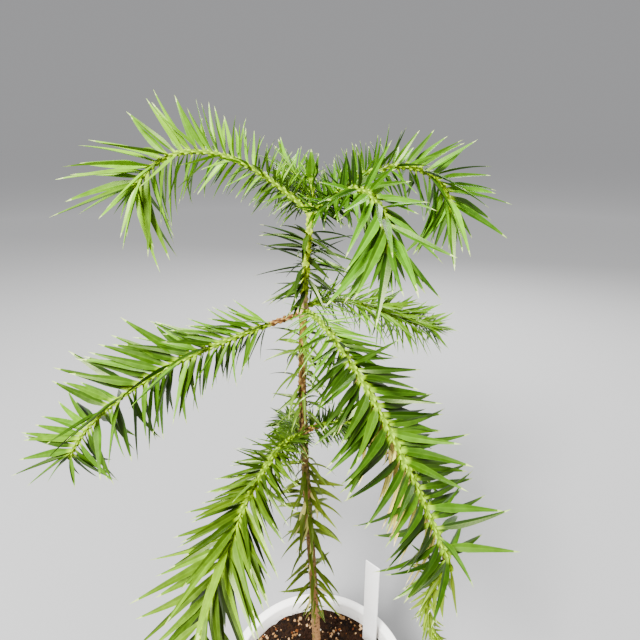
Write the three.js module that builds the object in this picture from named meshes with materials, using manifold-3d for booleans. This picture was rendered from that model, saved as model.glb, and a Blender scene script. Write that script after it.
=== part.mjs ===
// Young parana pine in a round white pot: one slender upright stem, three whorls of arching
// leafy shoots, and broad sharp-pointed leaves all along the stem and the shoots.
// Millimetres, +Z up. The origin is the middle of the pot's flat underside, and the plant's
// front faces -Y. Angles are in degrees.

import * as THREE from "three";
import { mergeVertices } from "three/addons/utils/BufferGeometryUtils.js";
import Module from "manifold-3d";

const wasm = await Module();
wasm.setup();

// Driving dimensions of the pot, the soil and the plant label
const gap = 0.3; // between neighbouring pieces
const potHeight = 130;
const rimRadius = 75;
const lipWidth = 8;
const rimBand = 22; // height of the thicker band under the rim
const bandStep = 3.5; // how far the band stands out of the wall
const footRadius = 56;
const wall = 6;
const floorThickness = 6;
const edgeRound = 1.5;
const lipFall = 0.4; // the lip slopes down to the inside, and its face in to the wall, by this
const drainHoles = { count: 4, radius: 5, circle: 32, sides: 12 };
const soilDrop = 11; // from the rim down to the soil
const potSides = 36;
const label = {
  width: 14,
  thickness: 1,
  above: 90, // out of the soil
  below: 26, // in the soil
  point: 12, // height of its pointed foot
  x: 46,
  y: 34,
  yaw: -43,
};

// Driving dimensions of the stem
const stemHeight = 388; // from the soil to the foot of the leader's bud
const stemRadius = { foot: 3.2, tip: 0.9, fullness: 0.417 };
const flare = { width: 0.9, height: 7 };
const stemFoot = 0.4; // sideways from the middle of the pot
const stemLean = -2.4; // sideways, over the whole height
const stemBow = { width: -7.6, lateness: 1.8 };
const stemStep = 14;
const stemSides = 8;
const footRings = [2, 6]; // heights of the rings that shape the flare
const whorlHeights = [238, 323, 381]; // where the shoots leave the stem
const whorlSwelling = { width: 0.5, height: 5, ring: 6 };

// Driving dimensions of the shoots and the leaves
const soilTop = potHeight - soilDrop;
const shootRadius = { foot: 1.4, tip: 0.8 };
const shootSteps = 60; // steps of the course that every shoot follows
const twigStep = 7; // between the rings of its solid
const boughSides = 6;
const twigSides = 3;
const twigFullness = 1.2; // a three-sided twig is wider at its corners than a round one
const goldenAngle = 137.508;
const leafPitch = 3.3; // along the stem, from one leaf to the next
const leafTurn = 2 * goldenAngle; // each modelled leaf stands for two or more of the plant's
const leafShape = { width: 0.15, widest: 0.36, thickness: 0.026, arch: 0.05 }; // of its length
const leafFace = { forward: 0.6, front: 0.5, up: 0.9 }; // where a leaf's upper face looks
const leafChance = { turn: 30, spread: 20, size: 0.2 }; // how far one leaf may differ from the rule
const flattenOver = 0.6; // how much of flatten is taken from the leaves above and below
const endMargin = 0.8; // from the end of a mass to its nearest leaf
const pointedRoot = 1.3; // how far a leaf's root reaches behind the middle of its shoot
const broadRoot = { width: 1.4, keel: 1 }; // where a leaf clasps the stem
const sheathWall = 0.7; // the leaf bases that wrap the stem
const sheathRoot = 0.3; // how deep in the sheath a leaf begins, as a share of its wall

// Each shoot leaves the stem at a height above the soil. Its heading is counted from +X, seen
// from above, and swings by turn on the way to its tip. The slopes are its steepness at the
// foot, in the middle and at the tip. Splits are shares of its length where one mass of leaves
// ends and the next begins. Leaf lengths are for its foot, its fullest place and its tip.
const shoots = [
  {
    name: "upper_left",
    height: 380.5,
    heading: 166,
    turn: 11,
    slopes: [40, 39, -64],
    length: 120,
    bare: 12,
    splits: [0.56],
    leaves: [16, 46, 46],
    fullest: 0.85,
    spread: [78, 50],
    flatten: 0,
    hang: 0.06,
    seed: 1,
  },
  {
    name: "upper_right",
    height: 382,
    heading: 12,
    turn: 0,
    slopes: [39, 32, -81],
    length: 103,
    bare: 12,
    splits: [0.56],
    leaves: [16, 40, 40],
    fullest: 0.85,
    spread: [78, 50],
    flatten: 0,
    hang: 0.06,
    seed: 2,
  },
  {
    name: "upper_front",
    height: 379,
    heading: 308,
    turn: -19,
    slopes: [29, 42, -90],
    length: 88,
    bare: 12,
    splits: [0.58],
    leaves: [15, 38, 38],
    fullest: 0.9,
    spread: [74, 42],
    flatten: 0.1,
    hang: 0.1,
    seed: 3,
  },
  {
    name: "upper_back",
    height: 384.5,
    heading: 104,
    turn: 8,
    slopes: [25, 30, -38],
    length: 80,
    bare: 12,
    splits: [0.58],
    leaves: [15, 33, 30],
    fullest: 0.85,
    spread: [74, 42],
    flatten: 0,
    hang: 0.08,
    seed: 4,
  },
  {
    name: "middle_left",
    height: 322.5,
    heading: 197,
    turn: -32,
    slopes: [-13, -25, -59],
    length: 190,
    bare: 20,
    splits: [0.42, 0.72],
    leaves: [24, 44, 36],
    fullest: 0.42,
    spread: [46, 64],
    flatten: 0.1,
    hang: 0.06,
    seed: 5,
  },
  {
    name: "middle_front",
    height: 322.5,
    heading: 284,
    turn: 36,
    slopes: [24, -50, -60],
    length: 167,
    bare: 12,
    splits: [0.5],
    leaves: [24, 35, 28],
    fullest: 0.55,
    spread: [42, 90],
    flatten: 0.9,
    hang: 0.12,
    seed: 6,
  },
  {
    name: "middle_right",
    height: 326,
    heading: 38,
    turn: -20,
    slopes: [12, -50, -12],
    length: 108,
    bare: 12,
    splits: [0.5],
    leaves: [22, 32, 24],
    fullest: 0.5,
    spread: [48, 48],
    flatten: 0.1,
    hang: 0.1,
    seed: 7,
  },
  {
    name: "lower_left",
    height: 235.5,
    heading: 250,
    turn: -14,
    slopes: [43, -66, -79],
    length: 190,
    bare: 12,
    splits: [0.4, 0.7],
    leaves: [14, 46, 44],
    fullest: 0.5,
    spread: [70, 28],
    flatten: 0.35,
    hang: 0.15,
    seed: 8,
  },
  {
    name: "lower_right",
    height: 240,
    heading: 15,
    turn: 0,
    slopes: [22, -46, -78],
    length: 118,
    bare: 12,
    splits: [0.5],
    leaves: [16, 30, 28],
    fullest: 0.6,
    spread: [68, 44],
    flatten: 0.2,
    hang: 0.2,
    seed: 9,
  },
  {
    name: "lower_back",
    height: 239,
    heading: 104,
    turn: 2,
    slopes: [-12, -28, -58],
    length: 80,
    bare: 12,
    splits: [],
    leaves: [16, 26, 22],
    fullest: 0.6,
    spread: [66, 46],
    flatten: 0.2,
    hang: 0.15,
    seed: 10,
  },
];

// The young end of the front shoot hangs straight down from the bend.
const hangingTip = {
  name: "middle_front_tip",
  heading: 146,
  turn: 23,
  slopes: [-60, -79, -149],
  length: 60,
  bare: 0,
  splits: [],
  leaves: [22, 12, 9],
  fullest: 0.3,
  spread: [48, 30],
  flatten: 0.1,
  hang: 0.15,
  seed: 11,
};

// The leader's bud carries on from the top of the stem, in an upright tuft of leaves.
const leader = {
  name: "leader",
  heading: 0,
  turn: 0,
  slopes: [88, 90, 92],
  length: 12,
  bare: 0,
  splits: [],
  leaves: [13, 14, 15],
  fullest: 0.5,
  spread: [72, 8],
  hang: 0,
  pitch: 0.9,
  seed: 12,
};

// Leaves that stand on the stem itself, as sheaths of leaf bases between two heights
const sheaths = [
  {
    name: "stem_leaves_foot",
    from: 80,
    to: 134,
    leaves: [12, 25, 26],
    pitch: 5,
    spread: [80, 92],
    hang: 0.6,
    seed: 21,
  },
  {
    name: "stem_leaves_low",
    from: 142,
    to: 222,
    leaves: [26, 30, 24],
    pitch: 4.6,
    spread: [92, 88],
    hang: 0.6,
    seed: 22,
  },
  {
    name: "stem_leaves_middle",
    from: 250,
    to: 314,
    leaves: [22, 27, 24],
    pitch: 3.6,
    spread: [84, 82],
    hang: 0.15,
    seed: 23,
  },
  {
    name: "stem_leaves_upper",
    from: 331,
    to: 373,
    leaves: [26, 32, 27],
    pitch: 2.8,
    spread: [104, 80],
    hang: 0.08,
    seed: 24,
  },
];

const colours = {
  pot: 0xe9e6e1,
  soil: 0x3a2618,
  label: 0xf4f3f1,
  bark: 0x7d6238,
  greenBark: 0x9bb233,
  leaf: 0x4f8f2b,
  darkLeaf: 0x35681f,
  youngLeaf: 0x8fb648,
};

const radians = THREE.MathUtils.degToRad;
const lerp = THREE.MathUtils.lerp;

function material(colour, roughness) {
  return new THREE.MeshStandardMaterial({ color: colour, roughness, metalness: 0 });
}

// A repeatable number from 0 to 1 for each index and seed
function chance(index, seed) {
  const value = Math.sin(index * 12.9898 + seed * 78.233) * 43758.5453;
  return value - Math.floor(value);
}

// A closed geometry as a solid that can be cut and joined
function solidOf(geometry) {
  const bare = geometry.index ? geometry.toNonIndexed() : geometry.clone();
  bare.deleteAttribute("normal");
  bare.deleteAttribute("uv");
  const merged = mergeVertices(bare, 1e-4);
  return new wasm.Manifold(
    new wasm.Mesh({
      numProp: 3,
      vertProperties: merged.attributes.position.array,
      triVerts: new Uint32Array(merged.index.array),
    }),
  );
}

function geometryOf(solid) {
  const mesh = solid.getMesh();
  const geometry = new THREE.BufferGeometry();
  geometry.setAttribute("position", new THREE.BufferAttribute(mesh.vertProperties, 3));
  geometry.setIndex(new THREE.BufferAttribute(mesh.triVerts, 1));
  const flat = geometry.toNonIndexed();
  flat.computeVertexNormals();
  return flat;
}

// A closed geometry from a list of corners and a list of triangles between them
function facets(corners, triangles) {
  const geometry = new THREE.BufferGeometry();
  const flat = corners.flatMap((corner) => [corner.x, corner.y, corner.z]);
  geometry.setAttribute("position", new THREE.Float32BufferAttribute(flat, 3));
  geometry.setIndex(triangles.flat());
  return geometry;
}

// A tapering limb through stations, each with a point, a side and an upper direction
function limb(stations, radiusAt, sides) {
  const corners = [];
  const triangles = [];
  stations.forEach((station, ring) => {
    const radius = radiusAt(station, ring);
    for (let i = 0; i < sides; i++) {
      const angle = (2 * Math.PI * i) / sides;
      corners.push(
        station.point
          .clone()
          .addScaledVector(station.side, radius * Math.cos(angle))
          .addScaledVector(station.over, radius * Math.sin(angle)),
      );
    }
  });
  const last = (stations.length - 1) * sides;
  for (let ring = 0; ring < stations.length - 1; ring++) {
    for (let i = 0; i < sides; i++) {
      const a = ring * sides + i;
      const b = ring * sides + ((i + 1) % sides);
      triangles.push([a, b, b + sides], [a, b + sides, a + sides]);
    }
  }
  for (let i = 1; i < sides - 1; i++) {
    triangles.push([0, i + 1, i], [last, last + i, last + i + 1]);
  }
  return solidOf(facets(corners, triangles));
}

// The stem's middle line: it leans and bows a little to the left on its way up
function stemPoint(height) {
  const share = THREE.MathUtils.clamp(height / stemHeight, 0, 1);
  const bow = stemBow.width * Math.sin(Math.PI * share ** stemBow.lateness);
  return new THREE.Vector3(stemFoot + stemLean * share + bow, 0, soilTop + height);
}

function stemRadiusAt(height) {
  const share = THREE.MathUtils.clamp(height / stemHeight, 0, 1);
  const taper = (1 - share) ** stemRadius.fullness;
  let radius = lerp(stemRadius.tip, stemRadius.foot, taper);
  radius += flare.width * Math.exp(-height / flare.height);
  for (const whorl of whorlHeights) {
    radius += whorlSwelling.width * Math.exp(-(((height - whorl) / whorlSwelling.height) ** 2));
  }
  return radius;
}

function stemStation(height) {
  const step = 0.5;
  const along = stemPoint(height + step).sub(stemPoint(height - step)).normalize();
  const over = new THREE.Vector3(0, 1, 0);
  return { point: stemPoint(height), along, side: over.clone().cross(along), over, height };
}

function stemStations(from, to, step) {
  const count = Math.max(1, Math.round((to - from) / step));
  return Array.from({ length: count + 1 }, (_, i) => stemStation(lerp(from, to, i / count)));
}

// The course of a shoot: evenly spaced stations from its foot to its tip
function courseOf(shoot, foot) {
  const stations = [];
  const point = foot.clone();
  const step = shoot.length / shootSteps;
  for (let i = 0; i <= shootSteps; i++) {
    const station = directionAt(shoot, i / shootSteps);
    station.point = point.clone();
    stations.push(station);
    point.addScaledVector(directionAt(shoot, (i + 0.5) / shootSteps).along, step);
  }
  return stations;
}

function directionAt(shoot, share) {
  const [foot, middle, tip] = shoot.slopes;
  const rest = 1 - share;
  const slope = radians(rest * rest * foot + 2 * rest * share * middle + share * share * tip);
  const heading = radians(shoot.heading + shoot.turn * share);
  const along = new THREE.Vector3(
    Math.cos(slope) * Math.cos(heading),
    Math.cos(slope) * Math.sin(heading),
    Math.sin(slope),
  );
  const side = new THREE.Vector3(-Math.sin(heading), Math.cos(heading), 0);
  return { along, side, over: along.clone().cross(side) };
}

function stationAt(shoot, distance) {
  const place = THREE.MathUtils.clamp((distance / shoot.length) * shootSteps, 0, shootSteps);
  const before = Math.min(Math.floor(place), shootSteps - 1);
  const station = directionAt(shoot, distance / shoot.length);
  const next = shoot.course[before + 1].point;
  station.point = shoot.course[before].point.clone().lerp(next, place - before);
  return station;
}

// The stations of a piece of a shoot
function stretchOf(shoot, from, to) {
  const count = Math.max(1, Math.round((to - from) / twigStep));
  return Array.from({ length: count + 1 }, (_, i) => {
    const distance = lerp(from, to, i / count);
    return { ...stationAt(shoot, distance), share: distance / shoot.length };
  });
}

// Length of a leaf at a share of the way along, from three named lengths
function leafLength(rule, share) {
  const fullest = rule.fullest ?? 0.5;
  const [foot, full, tip] = rule.leaves;
  if (share < fullest) return lerp(foot, full, (share / fullest) ** 2);
  return lerp(full, tip, THREE.MathUtils.smoothstep(share, fullest, 1));
}

// Where a leaf stands and how it points: out from the stem at an angle to it, turned to the
// two sides by flatten and drawn down by hang, with its upper face towards the light
function leafPose(rule, station, share, index) {
  const ownTurn = leafChance.turn * (chance(index, rule.seed) - 0.5);
  const turn = radians(index * leafTurn + 360 * chance(0, rule.seed) + ownTurn);
  const flatten = rule.flatten ?? 0;
  const outward = station.side
    .clone()
    .multiplyScalar(Math.cos(turn) * (1 + flatten))
    .addScaledVector(station.over, Math.sin(turn) * (1 - flattenOver * flatten))
    .normalize();
  const ownSpread = leafChance.spread * (chance(index, rule.seed + 0.5) - 0.5);
  const spread = radians(lerp(rule.spread[0], rule.spread[1], share) + ownSpread);
  const along = station.along
    .clone()
    .multiplyScalar(Math.cos(spread))
    .addScaledVector(outward, Math.sin(spread));
  along.z -= rule.hang;
  along.normalize();
  const face = station.along.clone().multiplyScalar(leafFace.forward);
  face.y -= leafFace.front;
  face.z += leafFace.up;
  face.addScaledVector(along, -face.dot(along)).normalize();
  const ownSize = leafChance.size * (chance(index, rule.seed + 0.25) - 0.5);
  const size = leafLength(rule, share) * (1 + ownSize);
  const across = along.clone().cross(face);
  return { foot: station.point.clone(), outward, along, face, across, size };
}

// Places a leaf's corners: forward along it, sideways across it and up from its face
function leafFrame({ foot, along, across, face }) {
  return (forward, sideways, up) =>
    foot
      .clone()
      .addScaledVector(along, forward)
      .addScaledVector(across, sideways)
      .addScaledVector(face, up);
}

// A leaf of eight faces with a ridge above, a keel below and a pointed root, bent down a little
function shootLeaf(pose, extra) {
  const at = leafFrame(pose);
  const half = (leafShape.width * pose.size) / 2 + extra;
  const thick = (leafShape.thickness * pose.size) / 2 + extra;
  const middle = leafShape.widest * pose.size;
  const arch = leafShape.arch * pose.size;
  const corners = [
    at(-pointedRoot - extra, 0, 0),
    at(middle, half, arch),
    at(pose.size + 2 * extra, 0, 0),
    at(middle, -half, arch),
    at(middle, 0, arch + thick),
    at(middle, 0, arch - thick),
  ];
  const above = [0, 1, 2, 3].map((corner) => [corner, (corner + 1) % 4, 4]);
  const below = [0, 1, 2, 3].map((corner) => [(corner + 1) % 4, corner, 5]);
  return solidOf(facets(corners, [...above, ...below]));
}

// A leaf of eight faces that is flat above and has a three-cornered root
function stemLeaf(pose, extra) {
  const at = leafFrame(pose);
  const half = (leafShape.width * pose.size) / 2 + extra;
  const rootHalf = broadRoot.width / 2 + extra;
  const keelThird = broadRoot.keel / 3; // the root's middle is a third of the way down its keel
  const middle = leafShape.widest * pose.size;
  const arch = leafShape.arch * pose.size + extra;
  const corners = [
    at(0, -rootHalf, keelThird + extra),
    at(0, rootHalf, keelThird + extra),
    at(0, 0, -2 * keelThird - extra),
    at(middle, -half, arch),
    at(middle, half, arch),
    at(pose.size + 2 * extra, 0, 0),
  ];
  const triangles = [
    [0, 2, 1],
    [0, 1, 4],
    [0, 4, 3],
    [3, 4, 5],
    [0, 3, 2],
    [3, 5, 2],
    [5, 4, 2],
    [4, 1, 2],
  ];
  return solidOf(facets(corners, triangles));
}

function touches(a, b) {
  const boxA = a.boundingBox();
  const boxB = b.boundingBox();
  const apart = [0, 1, 2].some(
    (axis) => boxA.min[axis] > boxB.max[axis] || boxB.min[axis] > boxA.max[axis],
  );
  return !apart && a.intersect(b).volume() > 0;
}

// The pot: one turned wall with a band under the rim, and drain holes in its floor
function potSolid() {
  const bandRadius = rimRadius - bandStep;
  const insideTop = rimRadius - lipWidth;
  const profile = [
    [0, 0],
    [footRadius - edgeRound, 0],
    [footRadius, edgeRound],
    [bandRadius, potHeight - rimBand],
    [rimRadius - lipFall, potHeight - rimBand + bandStep],
    [rimRadius, potHeight - edgeRound],
    [rimRadius - edgeRound, potHeight],
    [insideTop + edgeRound, potHeight - lipFall],
    [insideTop, potHeight - edgeRound - lipFall],
    [footRadius - wall, floorThickness],
    [0, floorThickness],
  ];
  const turned = new THREE.LatheGeometry(profile.map(([x, y]) => new THREE.Vector2(x, y)), potSides);
  let solid = solidOf(turned.rotateX(Math.PI / 2));
  for (let i = 0; i < drainHoles.count; i++) {
    const angle = (2 * Math.PI * (i + 0.5)) / drainHoles.count;
    const { radius, sides } = drainHoles;
    const hole = new THREE.CylinderGeometry(radius, radius, 3 * floorThickness, sides);
    hole.rotateX(Math.PI / 2);
    hole.translate(drainHoles.circle * Math.cos(angle), drainHoles.circle * Math.sin(angle), 0);
    solid = solid.subtract(solidOf(hole));
  }
  return solid;
}

// Inside radius of the pot at a height
function insideRadius(height) {
  const top = potHeight - edgeRound - lipFall;
  const share = (height - floorThickness) / (top - floorThickness);
  return lerp(footRadius - wall, rimRadius - lipWidth, share);
}

function soilSolid() {
  const bottom = floorThickness + gap;
  const profile = [
    [0, bottom],
    [insideRadius(bottom) - gap, bottom],
    [insideRadius(soilTop) - gap, soilTop],
    [0, soilTop],
  ];
  const turned = new THREE.LatheGeometry(profile.map(([x, y]) => new THREE.Vector2(x, y)), potSides);
  return solidOf(turned.rotateX(Math.PI / 2)).subtract(labelSolid(gap));
}

// The plant label: a thin blank tag with a pointed foot, pushed into the soil
function labelSolid(extra) {
  const half = label.width / 2 + extra;
  const outline = new THREE.Shape();
  outline.moveTo(-half, label.above);
  outline.lineTo(-half, label.point - label.below);
  outline.lineTo(0, -label.below - extra);
  outline.lineTo(half, label.point - label.below);
  outline.lineTo(half, label.above);
  outline.closePath();
  const depth = label.thickness + 2 * extra;
  const plate = new THREE.ExtrudeGeometry(outline, { depth, bevelEnabled: false, steps: 1 });
  plate.translate(0, 0, -depth / 2);
  plate.rotateX(Math.PI / 2);
  plate.rotateZ(radians(label.yaw));
  plate.translate(label.x, label.y, soilTop);
  return solidOf(plate);
}

const pieces = []; // every finished solid, in the order that they are made

function addPiece(group, name, solid, look) {
  const mesh = new THREE.Mesh(geometryOf(solid), look);
  mesh.name = name;
  group.add(mesh);
  pieces.push({ name, solid });
}

const looks = {
  pot: material(colours.pot, 0.35),
  soil: material(colours.soil, 0.95),
  label: material(colours.label, 0.5),
  bark: material(colours.bark, 0.8),
  greenBark: material(colours.greenBark, 0.7),
  leaf: material(colours.leaf, 0.45),
  darkLeaf: material(colours.darkLeaf, 0.45),
  youngLeaf: material(colours.youngLeaf, 0.5),
};

const pottedPine = new THREE.Group();
const container = new THREE.Group();
const limbs = new THREE.Group();
const foliage = new THREE.Group();
pottedPine.add(container, limbs, foliage);

addPiece(container, "pot", potSolid(), looks.pot);
addPiece(container, "soil", soilSolid(), looks.soil);
addPiece(container, "plant_label", labelSolid(0), looks.label);

// The stem, from its flat foot on the soil to the leader's tip
const ringCount = Math.floor(stemHeight / stemStep);
const evenRings = Array.from({ length: ringCount }, (_, i) => (i + 1) * stemStep);
const nearWhorl = (height) => whorlHeights.some((whorl) => Math.abs(height - whorl) < stemStep);
const awayRings = evenRings.filter((height) => !nearWhorl(height));
const { ring } = whorlSwelling;
const whorlRings = whorlHeights.flatMap((whorl) => [whorl - ring, whorl, whorl + ring]);
const stemHeights = [...footRings, ...awayRings, ...whorlRings, stemHeight];
const flatFoot = { ...stemStation(gap), side: new THREE.Vector3(1, 0, 0) };
const stemCourse = [flatFoot, ...stemHeights.sort((a, b) => a - b).map(stemStation)];
const stemSolid = limb(stemCourse, (station) => stemRadiusAt(station.height), stemSides);
const stemRoom = limb(stemCourse, (station) => stemRadiusAt(station.height) + gap, stemSides);
addPiece(limbs, "trunk", stemSolid, looks.bark);

// The bare foot of each shoot, cut to the stem
function radiusAlong(station) {
  return lerp(shootRadius.foot, shootRadius.tip, station.share);
}

for (const shoot of shoots) {
  shoot.course = courseOf(shoot, stemPoint(shoot.height));
  const bough = limb(stretchOf(shoot, 0, shoot.bare), radiusAlong, boughSides).subtract(stemRoom);
  addPiece(limbs, "bough_" + shoot.name, bough, looks.greenBark);
}
const frontShoot = shoots.find((shoot) => shoot.name === "middle_front");
const bend = stationAt(frontShoot, frontShoot.length);
const bendEnd = bend.point.addScaledVector(bend.along, gap + shootRadius.tip);
hangingTip.course = courseOf(hangingTip, bendEnd);
leader.course = courseOf(leader, stemPoint(stemHeight + gap).setZ(soilTop + stemHeight + gap));

// Every mass of leaves starts as its own stretch of stem
const masses = [];
for (const shoot of [...shoots, hangingTip, leader]) {
  const cuts = [shoot.bare, ...shoot.splits.map((share) => share * shoot.length), shoot.length];
  for (let i = 0; i < cuts.length - 1; i++) {
    const from = cuts[i] > 0 ? cuts[i] + gap : 0;
    const twig = stretchOf(shoot, from, cuts[i + 1]);
    masses.push({
      name: "leaves_" + shoot.name + (cuts.length > 2 ? "_" + (i + 1) : ""),
      core: limb(twig, (station) => twigFullness * radiusAlong(station), twigSides),
      leafSolid: shootLeaf,
      rule: shoot,
      from,
      to: cuts[i + 1],
      pitch: shoot.pitch ?? leafPitch,
      stationAt: (distance) => stationAt(shoot, distance),
      shareOf: (distance) => distance / shoot.length,
      rootAt: () => 0,
      look: shoot === hangingTip ? looks.youngLeaf : looks.leaf,
    });
  }
}

// The sheaths of leaf bases round the stem, 0.3 mm clear of it
for (const sheath of sheaths) {
  const stations = stemStations(sheath.from, sheath.to, 2 * stemStep);
  const outerRadius = (height) => stemRadiusAt(height) + gap + sheathWall;
  const outer = limb(stations, (station) => outerRadius(station.height), stemSides);
  const span = sheath.to - sheath.from;
  masses.push({
    name: sheath.name,
    core: outer.subtract(stemRoom),
    leafSolid: stemLeaf,
    rule: sheath,
    from: sheath.from,
    to: sheath.to,
    pitch: sheath.pitch,
    stationAt: stemStation,
    shareOf: (height) => (height - sheath.from) / span,
    rootAt: (height) => stemRadiusAt(height) + gap + sheathRoot * sheathWall,
    clasps: "trunk",
    look: looks.darkLeaf,
  });
}

// Leaves are fused on one by one. One that would touch anything else is skipped.
for (const mass of masses) {
  let solid = mass.core;
  const others = [...pieces, ...masses.filter((m) => m !== mass && !m.done).map((m) => ({ solid: m.core }))];
  for (let i = 0; ; i++) {
    const distance = mass.from + endMargin + i * mass.pitch;
    if (distance > mass.to - endMargin) break;
    const pose = leafPose(mass.rule, mass.stationAt(distance), mass.shareOf(distance), i);
    pose.foot.addScaledVector(pose.outward, mass.rootAt(distance));
    const room = mass.leafSolid(pose, gap);
    if (others.some((other) => other.name !== mass.clasps && touches(room, other.solid))) continue;
    solid = solid.add(mass.leafSolid(pose, 0));
  }
  mass.done = true;
  addPiece(foliage, mass.name, solid, mass.look);
}

export default pottedPine;
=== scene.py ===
import bpy
import numpy as np
from math import cos, exp, hypot, pi, radians, sin, sqrt
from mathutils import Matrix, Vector, noise


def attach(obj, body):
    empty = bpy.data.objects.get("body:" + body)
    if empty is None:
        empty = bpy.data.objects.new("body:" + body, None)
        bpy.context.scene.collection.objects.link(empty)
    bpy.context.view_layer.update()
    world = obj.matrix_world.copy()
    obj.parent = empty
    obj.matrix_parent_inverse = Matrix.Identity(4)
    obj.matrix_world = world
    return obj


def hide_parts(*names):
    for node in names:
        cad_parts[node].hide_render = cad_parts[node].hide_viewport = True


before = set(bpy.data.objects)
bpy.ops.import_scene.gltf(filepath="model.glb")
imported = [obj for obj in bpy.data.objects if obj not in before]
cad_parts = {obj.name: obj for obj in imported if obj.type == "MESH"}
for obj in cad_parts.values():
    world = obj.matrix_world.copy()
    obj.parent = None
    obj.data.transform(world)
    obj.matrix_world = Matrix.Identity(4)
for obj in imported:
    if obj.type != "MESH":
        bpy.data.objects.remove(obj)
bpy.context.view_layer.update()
mm = 0.001

camera = {"place": (2.3 * mm, -270.4 * mm, 535.3 * mm), "downward": 20, "focalPixels": 480.8,
          "imagePixels": 640, "sensor": 36}


def placed(name, data):
    item = bpy.data.objects.new(name, data)
    bpy.context.scene.collection.objects.link(item)
    return item


def addCamera():
    data = bpy.data.cameras.new("camera")
    data.sensor_width = camera["sensor"]
    data.lens = camera["sensor"] * camera["focalPixels"] / camera["imagePixels"]
    data.clip_start = 0.01
    eye = placed("camera", data)
    eye.location = camera["place"]
    eye.rotation_euler = (radians(90 - camera["downward"]), 0, 0)
    bpy.context.scene.camera = eye


addCamera()
print("camera placed")


# Colours are codes of red, green and blue, with eight bits for each
def colourOf(code):
    parts = [(code >> shift & 255) / 255 for shift in (16, 8, 0)]
    return tuple(c / 12.92 if c <= 0.04045 else ((c + 0.055) / 1.055) ** 2.4 for c in parts)


# Node trees: one way of adding nodes, and sockets that take part in plain expressions. A whole
# number in a colour's socket is its code.
class Graph:
    def __init__(self, tree):
        self.tree = tree

    def add(self, kind, settings=None, inputs=None, output=0):
        node = self.tree.nodes.new(kind)
        for name, value in (settings or {}).items():
            setattr(node, name, value)
        for key, value in (inputs or {}).items():
            self.join(value, node.inputs[key])
        return Term(self, node.outputs[output]) if len(node.outputs) else node

    def join(self, value, socket):
        if isinstance(value, Term):
            self.tree.links.new(value.socket, socket)
        elif socket.type == "RGBA":
            socket.default_value = (*(colourOf(value) if isinstance(value, int) else value), 1)
        else:
            socket.default_value = value

    def read(self, name):
        return self.add("ShaderNodeAttribute", {"attribute_name": name}, output="Fac")

    def part(self, vector, axis):
        return self.add("ShaderNodeSeparateXYZ", {}, {0: vector}, axis)

    def vector(self, operation, first, second=(0.0, 0.0, 0.0), scale=1.0):
        inputs = {0: first, 1: second, 3: scale}
        output = "Value" if operation == "LENGTH" else "Vector"
        return self.add("ShaderNodeVectorMath", {"operation": operation}, inputs, output)

    def blend(self, share, low, high, mode="MIX"):
        settings = {"data_type": "RGBA", "blend_type": mode}
        return self.add("ShaderNodeMix", settings, {0: share, 6: low, 7: high}, 2)

    def ease(self, value, low, high, first=0.0, last=1.0, smooth=True):
        settings = {"interpolation_type": "SMOOTHSTEP" if smooth else "LINEAR"}
        return self.add("ShaderNodeMapRange", settings, dict(enumerate((value, low, high, first, last))))

    def clouds(self, scale, detail=3.0, roughness=0.5, place=None):
        inputs = {"Scale": scale, "Detail": detail, "Roughness": roughness}
        inputs["Vector"] = place or self.place
        return self.add("ShaderNodeTexNoise", {}, inputs, "Fac")

    def bands(self, level, stops):
        mixed = self.add("ShaderNodeValToRGB", {}, {"Fac": level}, "Color")
        elements = mixed.socket.node.color_ramp.elements
        elements.remove(elements[1])
        for place, code in stops.items():
            element = elements.new(place) if place > 0 else elements[0]
            element.color = (*colourOf(code), 1)
        return mixed


class Term:
    def __init__(self, graph, socket):
        self.graph = graph
        self.socket = socket

    def maths(self, operation, *values):
        return self.graph.add("ShaderNodeMath", {"operation": operation}, dict(enumerate(values)))

    def __add__(self, other):
        return self.maths("ADD", self, other)

    def __sub__(self, other):
        return self.maths("SUBTRACT", self, other)

    def __rsub__(self, other):
        return self.maths("SUBTRACT", other, self)

    def __mul__(self, other):
        return self.maths("MULTIPLY", self, other)

    def __pow__(self, other):
        return self.maths("POWER", self, other)

    def __abs__(self):
        return self.maths("ABSOLUTE", self)

    __radd__ = __add__


# A material's tree, from object coordinates to its one shader
class Finish(Graph):
    def __init__(self, name):
        self.material = bpy.data.materials.new(name)
        self.material.use_nodes = True
        super().__init__(self.material.node_tree)
        self.place = self.add("ShaderNodeTexCoord", output="Object")

    def end(self, colour, roughness, bump=None, strength=0.5, distance=0.001, specular=0.5, fixed=None):
        sockets = self.tree.nodes["Principled BSDF"].inputs
        self.join(colour, sockets["Base Color"])
        self.join(roughness, sockets["Roughness"])
        self.join(specular, sockets["Specular IOR Level"])
        if bump is not None:
            inputs = {"Strength": strength, "Distance": distance, "Height": bump}
            self.join(self.add("ShaderNodeBump", {}, inputs), sockets["Normal"])
        for name, value in (fixed or {}).items():
            sockets[name].default_value = value
        return self.material


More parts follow.
